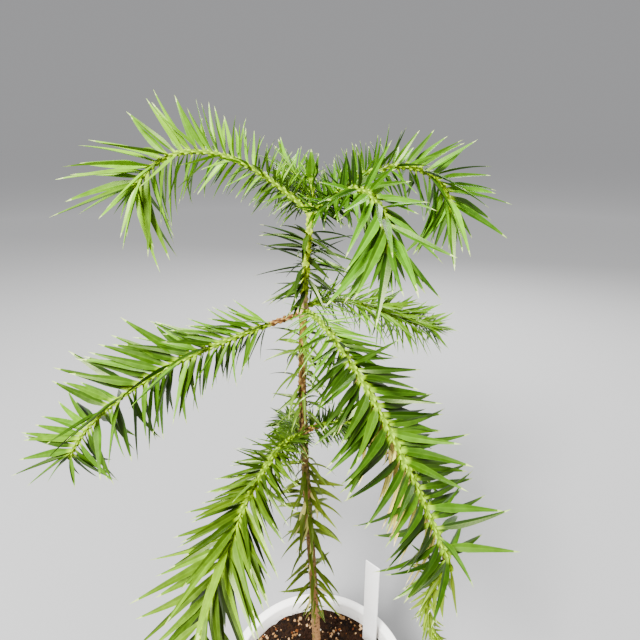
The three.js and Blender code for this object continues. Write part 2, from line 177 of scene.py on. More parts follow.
# A geometry tree, with named inputs and a plain mesh at the end
class Growth(Graph):
    def __init__(self, name, inputs):
        super().__init__(bpy.data.node_groups.new(name, "GeometryNodeTree"))
        face = self.tree.interface
        for label, kind, value in [("Geometry", "Geometry", None), *inputs]:
            socket = face.new_socket(label, in_out="INPUT", socket_type="NodeSocket" + kind)
            if value is not None:
                socket.default_value = value
        face.new_socket("Geometry", in_out="OUTPUT", socket_type="NodeSocketGeometry")
        source = self.tree.nodes.new("NodeGroupInput")
        self.named = {socket.name: Term(self, socket) for socket in source.outputs if socket.name}

    def field(self, name, kind="FLOAT"):
        return self.add("GeometryNodeInputNamedAttribute", {"data_type": kind}, {"Name": name})

    def store(self, geometry, name, value, kind="FLOAT"):
        settings = {"data_type": kind, "domain": "POINT"}
        inputs = {"Geometry": geometry, "Name": name, "Value": value}
        return self.add("GeometryNodeStoreNamedAttribute", settings, inputs)

    def shape(self, kind, geometry, inputs):
        return self.add("GeometryNode" + kind, {}, {"Geometry": geometry, **inputs})

    def close(self, geometry):
        self.add("NodeGroupOutput", {}, {0: geometry})
        return self.tree


def settle(piece, modifier):
    graph = bpy.context.evaluated_depsgraph_get()
    mesh = bpy.data.meshes.new_from_object(
        piece.evaluated_get(graph), preserve_all_data_layers=True, depsgraph=graph
    )
    piece.modifiers.remove(modifier)
    piece.data = mesh


def growMesh(name, source, tree, values):
    piece = placed(name, source)
    modifier = piece.modifiers.new("grow", "NODES")
    modifier.node_group = tree
    for item in tree.interface.items_tree:
        if item.item_type == "SOCKET" and item.in_out == "INPUT" and item.name in values:
            modifier[item.identifier] = values[item.name]
    settle(piece, modifier)
    piece.data.name = name
    return piece


# One point for each row of named values: its foot, and the others as attributes
def pointMesh(name, rows):
    mesh = bpy.data.meshes.new(name)
    mesh.from_pydata(np.array([row.pop("foot") for row in rows], float).tolist(), [], [])
    for label in rows[0]:
        numbers = np.array([row[label] for row in rows], np.float32)
        kind = "FLOAT_VECTOR" if numbers.ndim == 2 else "FLOAT"
        field = mesh.attributes.new(label, kind, "POINT")
        field.data.foreach_set("vector" if numbers.ndim == 2 else "value", numbers.ravel())
    return mesh


def meshPiece(name, corners, faces, material):
    mesh = bpy.data.meshes.new(name)
    mesh.from_pydata((np.array(corners, float) * mm).tolist(), [], faces)
    mesh.shade_smooth()
    mesh.materials.append(material)
    return placed(name, mesh)


# A closed surface from a foot through rings of corners to a tip, with its faces
def closedMesh(rings, foot, tip, first=0):
    sides = len(rings[0])
    corners = [foot, *[corner for ring in rings for corner in ring], tip]
    last = first + len(corners) - 1
    faces = []
    for i in range(sides):
        after = (i + 1) % sides
        faces.append((first, first + 1 + after, first + 1 + i))
        faces.append((last, last - sides + i, last - sides + after))
        for low in range(first + 1, last - sides, sides):
            faces.append((low + i, low + after, low + sides + after, low + sides + i))
    return corners, faces


def circle(radius, height, sides):
    turns = [2 * pi * i / sides for i in range(sides)]
    return [(radius * cos(turn), radius * sin(turn), height) for turn in turns]


def stand(piece, slot, *nodes):
    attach(piece, "root")
    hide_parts(*nodes)


# The plant's rule
plant = {
    "soilTop": 119, "stemHeight": 388, "stemFoot": 0.4, "stemLean": -2.4, "stemBow": -7.6,
    "bowLateness": 1.8, "stemRadius": (3.2, 0.9), "fullness": 0.417, "flare": (0.9, 7),
    "whorls": (238, 323, 381), "whorlSwelling": (0.5, 5), "shootRadius": (1.4, 0.8),
    "shootSteps": 60, "leafTurn": 2 * 137.508,  # a whole step is two turns of the plant's spiral
    "faceForward": 0.6, "faceFront": 0.5, "faceUp": 0.9, "turnChance": 30, "spreadChance": 20,
    "sizeChance": 0.2, "flattenOver": 0.6, "gap": 0.3, "endMargin": 0.8,
}

# What a shoot has where it says nothing else
usualShoot = {
    "turn": 0,
    "bare": 12,
    "splits": (0.5,),  # shares of its length where one mass ends and the next begins
    "leafless": 4.5,  # from the stem's middle to the first leaf
    "kind": "fresh",
    "fullest": 0.5,
    "flatten": 0.1,
    "warm": 0.3,
    "pitch": 3.3,  # a whole step of the rule
    "fineness": (8, 2.8),  # leaves for each whole step, at the foot and from the middle on
    "wild": 1,
    "narrow": 0.7,  # share of its width that a leaf has at the foot
    "woody": 2,  # length of the brown bark
}

# Shades give each shoot's leaves their tone; the dark feet of the lower shoots near the stem are painted
# shade
shoots = [usualShoot | shoot for shoot in (
    {"name": "upper_left", "height": 380.5, "heading": 166, "turn": 11, "slopes": (40, 39, -64),
     "length": 120, "splits": (0.56,), "leaves": (16, 46, 46), "fullest": 0.85, "spread": (78, 50),
     "flatten": -0.5, "hang": 0.06, "seed": 1, "warm": 0.4, "width": 0.105, "shades": (-0.1, 0.55),
     "narrow": 1.0},
    {"name": "upper_right", "height": 382, "heading": 12, "slopes": (39, 32, -81), "length": 103,
     "splits": (0.56,), "leaves": (16, 40, 40), "fullest": 0.85, "spread": (78, 50), "flatten": -0.35,
     "hang": 0.06, "seed": 2, "warm": 0.12, "shades": (-0.05, 0.05), "narrow": 1.0},
    {"name": "upper_front", "height": 379, "heading": 308, "turn": -19, "slopes": (29, 42, -90),
     "length": 88, "splits": (0.58,), "leaves": (15, 38, 38), "fullest": 0.9, "spread": (74, 42),
     "hang": 0.1, "seed": 3, "warm": 0, "shades": (-0.3, -0.12), "narrow": 1.0},
    {"name": "upper_back", "height": 384.5, "heading": 104, "turn": 8, "slopes": (25, 30, -38),
     "length": 80, "splits": (0.58,), "leaves": (15, 33, 30), "fullest": 0.85, "spread": (74, 42),
     "flatten": 0, "hang": 0.08, "seed": 4, "warm": 0.25, "shades": (-0.35, 0.15), "narrow": 1.0},
    {"name": "middle_left", "height": 322.5, "heading": 197, "turn": -32, "slopes": (-13, -25, -59),
     "length": 190, "bare": 20, "splits": (0.42, 0.72), "leaves": (24, 44, 36), "fullest": 0.42,
     "spread": (46, 64), "flatten": -0.6, "hang": 0.06, "seed": 5, "woody": 24, "leafless": 21,
     "fineness": (4, 1.6), "width": 0.125, "shades": (0.05, -0.12)},
    {"name": "middle_front", "height": 322.5, "heading": 284, "turn": 36, "slopes": (24, -50, -60),
     "length": 167, "leaves": (24, 35, 30), "fullest": 0.55, "spread": (42, 90), "flatten": 0.9,
     "hang": 0.12, "seed": 6, "kind": "deep", "leafless": 16, "fineness": (3.5, 4.5), "width": 0.12,
     "shades": (1.5, -0.28), "narrow": 0.3},
    {"name": "middle_right", "height": 326, "heading": 38, "turn": -20, "slopes": (12, -50, -12),
     "length": 108, "leaves": (22, 32, 24), "spread": (48, 48), "hang": 0.1, "seed": 7,
     "fineness": (5, 5), "width": 0.1, "warm": 0.45, "shades": (0.35, 0.55)},
    {"name": "lower_left", "height": 235.5, "heading": 250, "turn": -14, "slopes": (43, -66, -79),
     "length": 190, "splits": (0.4, 0.7), "leaves": (14, 46, 44), "spread": (70, 28), "flatten": 0.35,
     "hang": 0.15, "seed": 8, "fineness": (10, 2), "width": 0.098, "warm": 0.75,
     "shades": (-0.75, -0.02)},
    {"name": "lower_right", "height": 240, "heading": 15, "slopes": (22, -46, -78), "length": 118,
     "leaves": (16, 30, 28), "fullest": 0.6, "spread": (68, 44), "flatten": 0.2, "hang": 0.2, "seed": 9,
     "kind": "deep", "fineness": (15, 5), "shades": (-0.7, -0.2), "narrow": 1.0, "woody": 12},
    {"name": "lower_back", "height": 239, "heading": 104, "turn": 2, "slopes": (-12, -28, -58),
     "length": 80, "splits": (), "leaves": (16, 26, 22), "fullest": 0.6, "spread": (66, 46), "flatten": 0.2,
     "hang": 0.15, "seed": 10, "kind": "deep", "fineness": (15, 8), "width": 0.11, "warm": 0.5,
     "shades": (-0.7, -0.35)},
)]
hangingTip = usualShoot | {
    "name": "middle_front_tip", "heading": 146, "turn": 23, "slopes": (-60, -79, -149), "length": 60,
    "bare": 0, "splits": (), "leaves": (22, 12, 9), "fullest": 0.3, "spread": (48, 30), "hang": 0.15,
    "seed": 11, "kind": "young", "fineness": (4.5, 4.5), "width": 0.125, "warm": 0.8,
    "shades": (-0.3, 0.05), "woody": 0,
}
leader = usualShoot | {
    "name": "leader", "heading": 0, "slopes": (88, 90, 92), "length": 12, "bare": 0, "splits": (),
    "leaves": (13, 14, 15), "spread": (72, 8), "flatten": 0, "hang": 0, "pitch": 0.9,
    "seed": 12, "fineness": (2, 0.5), "warm": 0.2, "shades": (-0.2, 0.0), "woody": 0,
}
usualSheath = {"owner": "stem", "kind": "stem", "fullest": 0.5, "flatten": 0, "wild": 2.5, "warm": 0.9,
               "hang": 0.42, "width": 0.105}
sheaths = [usualSheath | sheath for sheath in (
    {"name": "stem_leaves_foot", "from": 80, "to": 134, "leaves": (12, 27, 28), "pitch": 5,
     "spread": (80, 92), "seed": 21, "width": 0.11, "bend": 0.32, "shade": 0.8, "fineness": 3.2},
    {"name": "stem_leaves_low", "from": 142, "to": 222, "leaves": (28, 34, 27), "pitch": 4.6,
     "spread": (92, 88), "seed": 22, "width": 0.11, "bend": 0.36, "shade": 0.65, "fineness": 3.3},
    {"name": "stem_leaves_middle", "from": 250, "to": 314, "leaves": (22, 27, 24), "pitch": 3.6,
     "spread": (84, 82), "hang": 0.15, "seed": 23, "bend": 0.34, "shade": 0.1, "fineness": 2.8,
     "warm": 0.45},
    {"name": "stem_leaves_upper", "from": 331, "to": 373, "leaves": (26, 32, 27), "pitch": 2.8,
     "spread": (104, 80), "hang": 0.08, "seed": 24, "bend": 0.16, "shade": -0.35, "fineness": 4,
     "warm": 0.05},
)]


def unit(vector):
    return vector / np.linalg.norm(vector)


def lerp(low, high, share):
    return low + (high - low) * share


def smoothstep(value, low, high):
    share = min(max((value - low) / (high - low), 0), 1)
    return share * share * (3 - 2 * share)


# The same repeatable number from 0 to 1 as in the part's source
def chance(index, seed):
    value = sin(index * 12.9898 + seed * 78.233) * 43758.5453
    return value % 1


def stemPoint(height):
    share = min(max(height / plant["stemHeight"], 0), 1)
    bow = plant["stemBow"] * sin(pi * share ** plant["bowLateness"])
    sideways = plant["stemFoot"] + plant["stemLean"] * share + bow
    return np.array((sideways, 0, plant["soilTop"] + height))


def stemRadiusAt(height):
    foot, tip = plant["stemRadius"]
    share = min(max(height / plant["stemHeight"], 0), 1)
    radius = lerp(tip, foot, (1 - share) ** plant["fullness"])
    width, reach = plant["flare"]
    radius += width * exp(-height / reach)
    width, reach = plant["whorlSwelling"]
    for whorl in plant["whorls"]:
        radius += width * exp(-(((height - whorl) / reach) ** 2))
    return radius


def stemStation(height):
    along = unit(stemPoint(height + 0.5) - stemPoint(height - 0.5))
    over = np.array((0.0, 1.0, 0.0))
    return {"point": stemPoint(height), "along": along, "side": np.cross(over, along), "over": over}


def directionAt(shoot, share):
    foot, middle, tip = shoot["slopes"]
    rest = 1 - share
    slope = radians(rest * rest * foot + 2 * rest * share * middle + share * share * tip)
    heading = radians(shoot["heading"] + shoot["turn"] * share)
    flat = cos(slope)
    along = np.array((flat * cos(heading), flat * sin(heading), sin(slope)))
    side = np.array((-sin(heading), cos(heading), 0))
    return {"along": along, "side": side, "over": np.cross(along, side)}


def courseOf(shoot, foot):
    steps = plant["shootSteps"]
    points = [np.array(foot, float)]
    for i in range(steps):
        ahead = directionAt(shoot, (i + 0.5) / steps)["along"]
        points.append(points[-1] + ahead * shoot["length"] / steps)
    return points


def stationAt(shoot, distance):
    steps = plant["shootSteps"]
    place = min(max(distance / shoot["length"] * steps, 0), steps)
    before = min(int(place), steps - 1)
    station = directionAt(shoot, distance / shoot["length"])
    station["point"] = lerp(shoot["course"][before], shoot["course"][before + 1], place - before)
    return station


for shoot in shoots:
    shoot["course"] = courseOf(shoot, stemPoint(shoot["height"]))
frontShoot = next(shoot for shoot in shoots if shoot["name"] == "middle_front")
bend = stationAt(frontShoot, frontShoot["length"])
bendEnd = bend["point"] + bend["along"] * (plant["gap"] + plant["shootRadius"][1])
hangingTip["course"] = courseOf(hangingTip, bendEnd)
leader["course"] = courseOf(leader, stemPoint(plant["stemHeight"]) + (0, 0, plant["gap"]))
leafyShoots = [*shoots, hangingTip, leader]


def leafLength(rule, share):
    foot, full, tip = rule["leaves"]
    fullest = rule["fullest"]
    if share < fullest:
        return lerp(foot, full, (share / fullest) ** 2)
    return lerp(full, tip, smoothstep(share, fullest, 1))


# A leaf's three directions, with its upper face turned as near as it goes to the given one
def directed(along, face):
    along = unit(along)
    face = unit(face - along * np.dot(face, along))
    return {"along": along, "face": face, "across": np.cross(face, along)}


def leafPose(rule, station, share, index):
    seed = rule["seed"]
    turn = index * plant["leafTurn"] + 360 * chance(0, seed)
    turn = radians(turn + rule["wild"] * plant["turnChance"] * (chance(index, seed) - 0.5))
    sideways = cos(turn) * (1 + rule["flatten"])
    upwards = sin(turn) * (1 - plant["flattenOver"] * rule["flatten"])
    outward = unit(station["side"] * sideways + station["over"] * upwards)
    strayed = rule["wild"] * plant["spreadChance"] * (chance(index, seed + 0.5) - 0.5)
    spread = radians(lerp(*rule["spread"], share) + strayed)
    along = station["along"] * cos(spread) + outward * sin(spread)
    face = station["along"] * plant["faceForward"] + (0, -plant["faceFront"], plant["faceUp"])
    size = leafLength(rule, share) * (1 + plant["sizeChance"] * (chance(index, seed + 0.25) - 0.5))
    ways = directed(along - (0, 0, rule["hang"]), face)
    return {"foot": station["point"], "outward": outward, **ways, "size": size, "share": share,
            "index": index, "seed": seed}


# Shares of a shoot between which leaves reach their last shade, full width and usual distance
growth = {"shade": (0, 0.45), "slim": (0.1, 0.55), "fineness": (0.1, 0.7)}


def poseOnShoot(shoot, distance, index, spread):
    share = distance / shoot["length"]
    pose = leafPose({**shoot, "spread": spread}, stationAt(shoot, distance), share, index)
    radius = lerp(*plant["shootRadius"], share)
    names = {"owner": shoot["name"], "part": shoot["name"], "kind": shoot["kind"]}
    looks = {key: shoot[key] for key in ("width", "warm") if key in shoot}
    # Leaves darker towards the foot where the shades say so; in the lower whorl that is painted shade
    looks["shade"] = lerp(*shoot["shades"], smoothstep(share, *growth["shade"]))
    looks["slim"] = lerp(shoot["narrow"], 1, smoothstep(share, *growth["slim"]))
    return pose | names | looks | {"distance": distance, "radius": radius}


def shootLeaves(shoot):
    cuts = [shoot["bare"], *[share * shoot["length"] for share in shoot["splits"]], shoot["length"]]
    pitch = shoot["pitch"]
    leaves = []
    for low, high in zip(cuts, cuts[1:]):
        start = (low + plant["gap"] if low > 0 else 0) + plant["endMargin"]
        index = min((shoot["leafless"] - start) / pitch, 0) if low == shoot["bare"] else 0
        while start + index * pitch < high - plant["endMargin"]:
            distance = start + index * pitch
            leaves.append(poseOnShoot(shoot, distance, index, shoot["spread"]))
            eased = smoothstep(distance / shoot["length"], *growth["fineness"])
            index += 1 / lerp(*shoot["fineness"], eased)
    return leaves + tuftLeaves(shoot)


# The youngest leaves stand close together round the end of a shoot and close up forward
tuft = {
    "leaves": 9,
    "others": {"middle_right": 34, "lower_back": 12, "middle_front": 0},
    "reach": (6, 0.3),  # behind the end
    "spread": (50, 12), "size": (0.9, 0.5), "perStep": 3,
}

# The leader ends in broad upright leaves that close round each other
bud = {"headings": (262, 20, 150), "leans": (2, 7, 7), "sizes": (17, 15, 14.5),
       "shades": (-0.1, -0.3, -0.5), "sunk": 2}
budLeaf = {"share": 1, "seed": 12, "distance": 0, "radius": 1, "owner": "leader", "part": "bud",
           "kind": "fresh", "width": 0.34, "warm": 0.2, "bend": -0.1, "steady": True}


def budLeaves():
    leaves = []
    foot = stationAt(leader, leader["length"] - bud["sunk"])["point"]
    for number, heading in enumerate(bud["headings"]):
        turn, lean = radians(heading), radians(bud["leans"][number])
        outward = np.array((cos(turn), sin(turn), 0))
        ways = directed(outward * sin(lean) + (0, 0, cos(lean)), outward)
        leaves.append(budLeaf | ways | {"foot": foot, "outward": outward, "index": number,
                                        "size": bud["sizes"][number], "shade": bud["shades"][number]})
    return leaves


def tuftLeaves(shoot):
    if shoot is leader:
        return budLeaves()
    count = tuft["others"].get(shoot["name"], tuft["leaves"])
    leaves = []
    for number in range(count):
        share = number / count
        distance = shoot["length"] - lerp(*tuft["reach"], share)
        spread = lerp(*tuft["spread"], share)
        pose = poseOnShoot(shoot, distance, number / tuft["perStep"], (spread, spread))
        pose["size"] *= lerp(*tuft["size"], share)
        leaves.append(pose)
    return leaves


def sheathLeaves(sheath):
    leaves = []
    start = sheath["from"] + plant["endMargin"]
    fineness = sheath["fineness"]
    count = int((sheath["to"] - plant["endMargin"] - start) / sheath["pitch"] * fineness) + 1
    for step in range(count):
        index = step / fineness
        height = start + index * sheath["pitch"]
        share = (height - sheath["from"]) / (sheath["to"] - sheath["from"])
        pose = leafPose(sheath, stemStation(height), share, index)
        looks = {key: sheath[key] for key in ("owner", "kind", "width", "bend", "shade", "warm")}
        place = {"part": sheath["name"], "distance": height, "radius": stemRadiusAt(height)}
        leaves.append(pose | looks | place)
    return leaves


grown = [leaf for sheath in sheaths for leaf in sheathLeaves(sheath)]
grown += [leaf for shoot in leafyShoots for leaf in shootLeaves(shoot)]

# Leaves keep clear of every limb but their own
clearance = {"room": 0.7, "samples": 7, "from": 0.3, "stemStep": 3, "shootPoints": 45}
heights = range(0, plant["stemHeight"], clearance["stemStep"])
limbPoints = [(stemPoint(height), stemRadiusAt(height), "stem") for height in heights]
for shoot in leafyShoots:
    for share in np.linspace(0.1, 1, clearance["shootPoints"]):
        radius = lerp(*plant["shootRadius"], share)
        limbPoints.append((stationAt(shoot, share * shoot["length"])["point"], radius, shoot["name"]))
limbPlaces, limbRadii, limbOwners = [np.array(values) for values in zip(*limbPoints)]


def isClear(leaf):
    shares = np.linspace(clearance["from"], 1, clearance["samples"])
    line = leaf["foot"] + np.outer(shares * leaf["size"], leaf["along"])
    others = limbOwners != leaf["owner"]
    apart = np.linalg.norm(line[:, None] - limbPlaces[others][None], axis=2)
    return (apart > limbRadii[others] + clearance["room"]).all()


allLeaves = [leaf for leaf in grown if isClear(leaf)]
print(len(allLeaves), "leaves placed")

# Dead leaves: some of those under the front and lower shoots, between two shares of their way
# along, and low on the stem
deadLeaves = {
    "middle_front": {"chance": 0.48, "stretch": (0.45, 0.97), "droop": 2.2, "below": 0.1},
    "lower_right": {"chance": 0.3, "stretch": (0.3, 0.8), "droop": 1.1, "below": -0.2},
    "lower_left": {"chance": 0.12, "stretch": (0.04, 0.16), "droop": 0.2, "below": -0.2},
    "stem_leaves_low": {"chance": 0.1, "stretch": (0, 1), "droop": 0.6},
    "stem_leaves_foot": {"chance": 0.08, "stretch": (0, 1), "droop": 0.6},
}
deadWarmth = 0.36


def wither(leaf, droop):
    leaf["kind"] = "dead"
    leaf["warm"] = deadWarmth
    leaf.pop("width", None)
    leaf.update(directed(leaf["along"] - (0, 0, droop), leaf["face"]))


for leaf in allLeaves:
    if leaf["part"] in deadLeaves:
        rule = deadLeaves[leaf["part"]]
        low, high = rule["stretch"]
        under = leaf["owner"] == "stem" or leaf["outward"][2] < rule["below"]
        luck = chance(leaf["index"] + leaf["distance"], leaf["seed"] + 5)
        if under and low < leaf["share"] < high and luck < rule["chance"]:
            wither(leaf, rule["droop"])

# Blades: a four-cornered tube for each leaf, in its own outline, folded, keeled, arched and twisted
blade = {
    "Segments": 10, "Widest place": 0.3, "Root width": 0.42, "Taper": 0.8, "Fold": 0.55, "Keel": 0.15,
    "Tip share": 0.92,
}


def bladeTree():
    numbers = [(label, "Int" if isinstance(value, int) else "Float", value)
               for label, value in blade.items()]
    materials = [("Blade", "Material", None), ("Tip", "Material", None)]
    graph = Growth("leafBlades", numbers + materials)
    named = graph.named
    sizes = {"Vertices": 4, "Side Segments": named["Segments"], "Radius": 1.0, "Depth": 1.0}
    tube = graph.add("GeometryNodeMeshCylinder", {"fill_type": "NGON"}, sizes)
    position = graph.add("GeometryNodeInputPosition")
    tube = graph.store(tube, "place", position, "FLOAT_VECTOR")
    joined = {"Points": named["Geometry"], "Instance": tube}
    blades = graph.add("GeometryNodeInstanceOnPoints", {}, joined)
    blades = graph.shape("RealizeInstances", blades, {})
    place = graph.field("place", "FLOAT_VECTOR")
    side = graph.part(place, "X")
    top = graph.part(place, "Y")
    reach = graph.part(place, "Z") + 0.5
    size = graph.field("size")
    widening = graph.ease(reach, 0, named["Widest place"], named["Root width"], 1)
    narrowing = graph.ease(reach, named["Widest place"], 1, 1, 0, smooth=False) ** named["Taper"]
    outline = widening * narrowing
    half = graph.field("width") * outline * 0.5
    bend = graph.field("bend")
    rise = bend * reach * reach * size * -1
    onward = (reach - bend * bend * reach ** 3 * 0.67) * size
    sweep = graph.field("sway") * reach * reach * size
    flat = half * side + sweep
    lift = half * (abs(side) * named["Fold"] + top * named["Keel"])
    along, across, face = [graph.field(name, "FLOAT_VECTOR") for name in ("along", "across", "face")]
    across = graph.vector("SCALE", across, scale=flat)
    section = graph.vector("ADD", across, graph.vector("SCALE", face, scale=lift))
    angle = graph.field("twist") * reach
    turned = graph.add("ShaderNodeVectorRotate", {"rotation_type": "AXIS_ANGLE"},
                       {"Vector": section, "Axis": along, "Angle": angle})
    foot = graph.vector("SUBTRACT", position, place)
    forward = graph.vector("SCALE", along, scale=onward)
    sagged = graph.vector("SCALE", face, scale=rise)
    goal = graph.vector("ADD", graph.vector("ADD", foot, forward), graph.vector("ADD", sagged, turned))
    blades = graph.store(blades, "reach", reach)
    blades = graph.store(blades, "side", side)
    blades = graph.shape("SetPosition", blades, {"Position": goal})
    blades = graph.shape("MergeByDistance", blades, {"Distance": 0.00001})
    blades = graph.shape("SetShadeSmooth", blades, {"Shade Smooth": True})
    blades = graph.shape("SetMaterial", blades, {"Material": named["Blade"]})
    limits = {0: graph.field("reach"), 1: named["Tip share"]}
    isTip = graph.add("FunctionNodeCompare", {"operation": "GREATER_THAN"}, limits)
    return graph.close(graph.shape("SetMaterial", blades, {"Selection": isTip, "Material": named["Tip"]}))


# Kinds of leaves: satin green, a paler keel line, pale edges of own colour and painted highlight, a darker
# root and a straw tip
leafKinds = {
    "fresh": {"root": 0x7C9E00, "deep": 0x182F00, "light": 0x598803, "paleAndHighlight": 0x80B51C,
              "tip": 0xA0996C, "roughness": 0.32, "width": 0.12, "bend": 0.08, "slot": "leaf"},
    "deep": {"root": 0x7A9D00, "deep": 0x142900, "light": 0x4F7C03, "paleAndHighlight": 0x70A21C,
             "tip": 0x9B9565, "roughness": 0.32, "width": 0.12, "bend": 0.16, "slot": "leaf"},
    "stem": {"root": 0x455900, "deep": 0x182603, "light": 0x4B690F, "paleAndHighlight": 0x6F8B30,
             "tip": 0x9B956C, "roughness": 0.32, "width": 0.125, "bend": 0.14, "slot": "dark_leaf"},
    "young": {"root": 0x7C9000, "deep": 0x355000, "light": 0x658903, "paleAndHighlight": 0x8BAD30,
              "tip": 0xBCB889, "roughness": 0.34, "width": 0.11, "bend": 0.06, "slot": "young_leaf"},
    "dead": {"root": 0x6F5930, "deep": 0xA0903F, "light": 0xDAD070, "paleAndHighlight": 0xE7E2A0,
             "tip": 0x957645, "roughness": 0.6, "width": 0.09, "bend": 0.1, "slot": "leaf"},
}
# How far each value of a leaf varies, with its turn round its own length in radians
variety = {"width": 0.3, "bend": 0.2, "sway": 0.16, "twist": 0.9, "shade": 1, "turn": 1.1, "warm": 0.3}
rootSunk = 0.6  # share of the limb's radius
leafSharpness = 24


def leafFinish(name, looks):
    graph = Finish(name)
    shade, warm, reach, side = [graph.read(name) for name in ("shade", "warm", "reach", "side")]
    mottle = graph.clouds(260, 2)
    level = graph.ease(shade * 0.8 + mottle * 0.4 - 0.1, 0, 1, smooth=False) ** 1.9
    body = graph.blend(level, looks["deep"], looks["light"])
    tint = graph.blend(warm, (0.76, 1, 1), (1.42, 1, 1))
    body = graph.blend(1.0, body, tint, "MULTIPLY")
    rooted = graph.blend((1 - graph.ease(reach, 0.03, 0.13)) * 0.8, body, looks["root"])
    keel = (1 - graph.ease(abs(side), 0.05, 0.3)) * 0.12
    # Pale lines along both edges: painted highlight, partly the leaves' own paler margins
    rim = graph.ease(abs(side), 0.8, 1) * 0.2
    fade = graph.ease(reach, 0.7, 1) * 0.4
    # The pale lines, painted edge highlight among them, are stronger on lighter leaves
    linesAndHighlight = (keel + rim + fade) * (0.35 + level * 0.65)
    lined = graph.blend(linesAndHighlight, rooted, looks["paleAndHighlight"])
    grain = graph.clouds(1400, 2)
    return graph.end(lined, looks["roughness"] + mottle * 0.12, grain, 0.12, 0.0004, 0.3,
                     {"Specular Tint": (0.85, 1.0, 0.45, 1)})


def tipFinish(name, looks):
    graph = Finish(name)
    mottle = graph.clouds(500, 2)
    colour = graph.blend(mottle, looks["tip"], looks["paleAndHighlight"])
    return graph.end(colour, 0.5, mottle, 0.1, 0.0003)


def massesOf(kind):
    masses = [sheath["name"] for sheath in sheaths if kind == "stem"]
    for shoot in leafyShoots:
        if shoot["kind"] == kind:
            name = "leaves_" + shoot["name"]
            cuts = len(shoot["splits"])
            masses += [f"{name}_{number + 1}" for number in range(cuts + 1)] if cuts else [name]
    return masses


def leafRow(leaf, number):
    looks = leafKinds[leaf["kind"]]
    vary = {}
    for step, (name, reach) in enumerate(variety.items()):
        luck = chance(number + leaf["index"], leaf["seed"] + 2 + step) - 0.5
        vary[name] = 0 if leaf.get("steady") else reach * luck
    cosine, sine = cos(vary["turn"]), sin(vary["turn"])
    sunk = leaf["radius"] * rootSunk
    width = leaf["size"] * leaf.get("width", looks["width"]) * leaf.get("slim", 1)
    return {
        "foot": (leaf["foot"] + leaf["outward"] * sunk) * mm,
        "along": leaf["along"],
        "face": leaf["face"] * cosine + leaf["across"] * sine,
        "across": leaf["across"] * cosine - leaf["face"] * sine,
        "size": (leaf["size"] - sunk) * mm,
        "width": width * (1 + vary["width"]) * mm,
        "bend": leaf.get("bend", looks["bend"]) + vary["bend"],
        "sway": vary["sway"],
        "twist": vary["twist"],
        "shade": 0.5 + vary["shade"] + leaf["shade"],
        "warm": leaf["warm"] + vary["warm"],
    }


def makeLeaves(kind, tree):
    chosen = [leaf for leaf in allLeaves if leaf["kind"] == kind]
    looks = leafKinds[kind]
    points = pointMesh(kind + "LeafPoints", [leafRow(leaf, n) for n, leaf in enumerate(chosen)])
    finishes = {"Blade": leafFinish(kind + "Leaf", looks), "Tip": tipFinish(kind + "LeafTip", looks)}
    piece = growMesh(kind + "Leaves", points, tree, {**blade, **finishes})
    piece.data.set_sharp_from_angle(angle=radians(leafSharpness))
    stand(piece, looks["slot"], *massesOf(kind))
    print(kind, len(chosen), "leaves", len(piece.data.polygons), "faces")


leafTree = bladeTree()
for kind in leafKinds:
    makeLeaves(kind, leafTree)

# Bark: round leaf bases all along each limb, in the plant's own spiral
bark = {
    "stemStep": 0.6, "stemSides": 40, "shootStep": 0.5, "shootSides": 20,
    "slimness": 0.85,  # of a shoot, without its leaf bases
    "basePitch": 0.85, "baseTurn": 137.508,
    "baseLength": (1.9, 0.55),  # behind and before its highest place
    "baseWidth": 0.42, "baseHeight": {"stem": 0.5, "shoot": 1.1},
    "tipLength": {"stem": 1.2, "shoot": 1.5},  # in radii
    "footLength": 0.1,
    "roughness": 0.1, "knobReach": 2.6,
    "knobs": {323: 1.5, 238: 0.5, 381: 0.6, 195: 0.5},  # extra radius of the stem where shoots leave it
    "worn": (0.3, 60, 200),  # share of the relief left at the stem's foot, and where it begins and ends
    "bold": (325, 335),  # where the stem's relief doubles
}
soilLine = plant["soilTop"] * mm
stemTop = soilLine + plant["stemHeight"] * mm


def baseRelief(distances, sides, length):
    angles = np.arange(sides) * 2 * pi / sides
    relief = np.zeros((len(distances), sides))
    behind, before = bark["baseLength"]
    for number in range(int(length / bark["basePitch"])):
        away = distances - number * bark["basePitch"]
        profile = np.exp(-(np.where(away < 0, away / behind, away / before)) ** 2)
        apart = np.angle(np.exp(1j * (angles - number * radians(bark["baseTurn"]))))
        relief = np.maximum(relief, np.outer(profile, np.exp(-(apart / bark["baseWidth"]) ** 2)))
    return relief


def limbMesh(limb, stations, radii, relief, first=0):
    sides = relief.shape[1]
    angles = np.arange(sides) * 2 * pi / sides
    reach = np.array(radii)[:, None] + relief * bark["baseHeight"][limb]
    rings = []
    for station, ring in zip(stations, reach):
        out = np.outer(np.cos(angles), station["side"]) + np.outer(np.sin(angles), station["over"])
        places = station["point"] + out * ring[:, None]
        rough = [noise.noise(Vector(place) * 1.1) + 0.6 * noise.noise(Vector(place) * 2.7)
                 for place in places]
        rings.append(places + out * (np.array(rough) * bark["roughness"])[:, None])
    foot = stations[0]["point"] - stations[0]["along"] * bark["footLength"]
    tip = stations[-1]["point"] + stations[-1]["along"] * radii[-1] * bark["tipLength"][limb]
    return closedMesh(rings, foot, tip, first)


# The stem's bark by its share of the way up, with the pink whorls and the green upper stem
stemBands = {
    0.0: 0xA87850, 0.2: 0xA4764C, 0.27: 0xA27046, 0.33: 0x7A5A30, 0.4: 0x6A4A28, 0.43: 0xA47450,
    0.45: 0x626C22, 0.485: 0x565A1E, 0.5: 0x9A6242, 0.515: 0x5C5C20, 0.56: 0x5C4420, 0.6: 0x3C2412,
    0.66: 0x462A10, 0.74: 0x4C3210, 0.826: 0x5C4A14, 0.834: 0xC4937A, 0.846: 0xC4937A,
    0.87: 0x6C8700, 1.0: 0x809A00,
}


